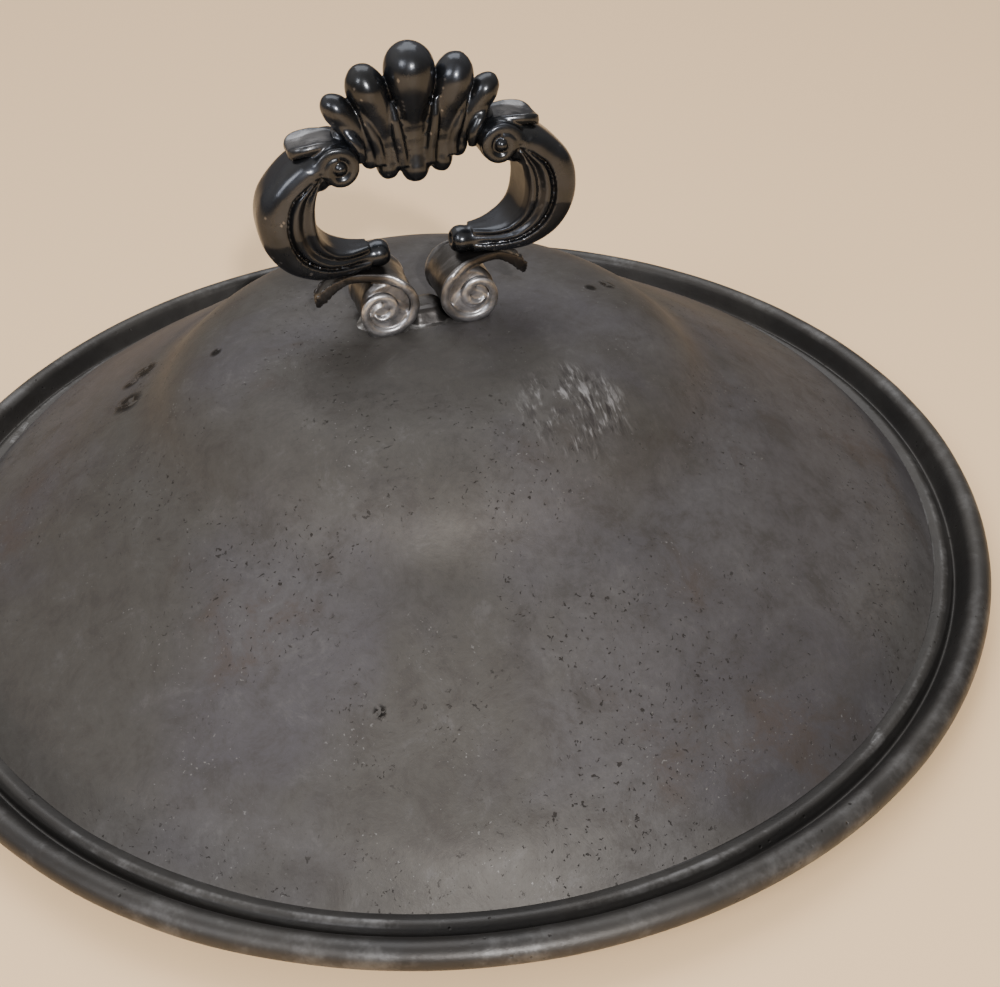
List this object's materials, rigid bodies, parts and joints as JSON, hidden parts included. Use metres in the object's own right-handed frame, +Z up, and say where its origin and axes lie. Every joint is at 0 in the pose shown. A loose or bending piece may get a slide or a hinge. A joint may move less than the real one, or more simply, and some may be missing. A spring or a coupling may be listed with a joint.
{
  "type": "domed dish cover",
  "caption": "Round domed dish cover of dull white metal: raised crown, sloping skirt, rolled rim, low bezel underneath, and an upright cast scroll handle crested with a fan of rounded lobes.",
  "frame": {"origin": "on the resting plane, under the middle of the cover", "axes": "+Z up through the crown and the handle, +X to the right along the handle's width, +Y away from the viewer, through the handle's thickness"},
  "size_m": [0.28, 0.28, 0.1264],
  "materials": {
    "spun_metal": "dull, tarnished, lightly pitted",
    "rim_metal": "dull, tarnished, worn bright on its high points",
    "stiffener_metal": "dull, tarnished",
    "cast_metal": "dark, handled to a soft gloss",
    "foot_metal": "worn to silver grey on its edges",
    "solder": "grey, uneven, bright in places",
    "iron_fixing": "dark, lightly rusted"
  },
  "bodies": {
    "root": {"crown": "spun_metal", "skirt": "spun_metal", "rim_moulding": "rim_metal", "rim_wire": "iron_fixing", "locating_bezel": "rim_metal", "crown_stiffener": "stiffener_metal", "foot_pad": "foot_metal", "foot_bridge": "foot_metal", "solder_run": "solder", "arm_curl_left": "cast_metal", "arm_curl_right": "cast_metal", "arm_inner_band_left": "cast_metal", "arm_inner_band_right": "cast_metal", "arm_outer_band_left": "cast_metal", "arm_outer_band_right": "cast_metal", "arm_rib_left": "cast_metal", "arm_rib_right": "cast_metal", "crest_lobe_centre": "cast_metal", "crest_lobe_mid_left": "cast_metal", "crest_lobe_mid_right": "cast_metal", "crest_lobe_outer_left": "cast_metal", "crest_lobe_outer_right": "cast_metal", "ear_leaf_left": "cast_metal", "ear_leaf_right": "cast_metal", "foot_eye_left": "foot_metal", "foot_eye_right": "foot_metal", "foot_scroll_left": "foot_metal", "foot_scroll_right": "foot_metal", "handle_stud_left": "iron_fixing", "handle_stud_right": "iron_fixing", "leaf_drop_left": "foot_metal", "leaf_drop_right": "foot_metal", "square_nut_left": "iron_fixing", "square_nut_right": "iron_fixing", "upper_scroll_left": "cast_metal", "upper_scroll_right": "cast_metal", "washer_left": "iron_fixing", "washer_right": "iron_fixing"}
  },
  "joints": []
}
